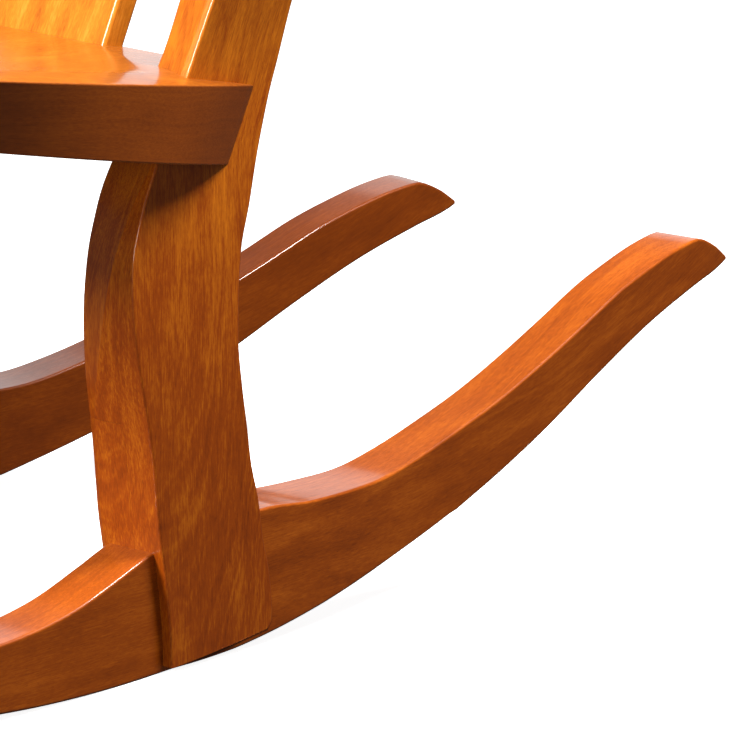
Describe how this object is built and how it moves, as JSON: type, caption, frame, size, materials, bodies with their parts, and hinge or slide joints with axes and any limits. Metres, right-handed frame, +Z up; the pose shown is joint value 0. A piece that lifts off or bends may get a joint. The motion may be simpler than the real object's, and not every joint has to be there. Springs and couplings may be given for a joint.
{
  "type": "rocking chair",
  "caption": "Sculpted solid-wood rocking chair with a hollowed seat, plank legs that run up into the back, a wide back splat and long curved rockers.",
  "frame": {"origin": "on the floor, in the middle of the chair's width and of its length over the rockers", "axes": "+Z up; +Y towards the rear, along the chair's length; +X towards the sitter's left"},
  "size_m": [0.7158, 1.0689, 1.1285],
  "materials": {
    "rocker_cherry": "solid cherry, rubbed satin-gloss varnish",
    "leg_cherry": "solid cherry, rubbed satin-gloss varnish",
    "seat_cherry": "edge-glued solid cherry, rubbed satin-gloss varnish",
    "arm_cherry": "solid cherry, rubbed satin-gloss varnish",
    "back_cherry": "solid cherry, rubbed satin-gloss varnish",
    "plug_cherry": "face-grain cherry plug, sanded flush and varnished",
    "dowel_maple": "plain turned maple, glued",
    "screw_steel": "zinc-plated steel wood screw"
  },
  "bodies": {
    "root": {"arm_dowels": "dowel_maple", "arm_left": "arm_cherry", "arm_plugs": "plug_cherry", "arm_right": "arm_cherry", "arm_screws": "screw_steel", "back_splat": "back_cherry", "crest_dowels": "dowel_maple", "crest_rail": "back_cherry", "foot_block_left": "leg_cherry", "foot_block_right": "leg_cherry", "front_leg_dowels": "dowel_maple", "front_leg_left": "leg_cherry", "front_leg_right": "leg_cherry", "front_seat_plugs": "plug_cherry", "front_seat_screws": "screw_steel", "rear_leg_dowels": "dowel_maple", "rear_leg_left": "leg_cherry", "rear_leg_right": "leg_cherry", "rear_seat_plugs": "plug_cherry", "rear_seat_screws": "screw_steel", "rocker_left": "rocker_cherry", "rocker_right": "rocker_cherry", "seat_board_1": "seat_cherry", "seat_board_2": "seat_cherry", "seat_board_3": "seat_cherry", "seat_board_4": "seat_cherry", "seat_board_5": "seat_cherry", "seat_dowels": "dowel_maple"}
  },
  "joints": []
}
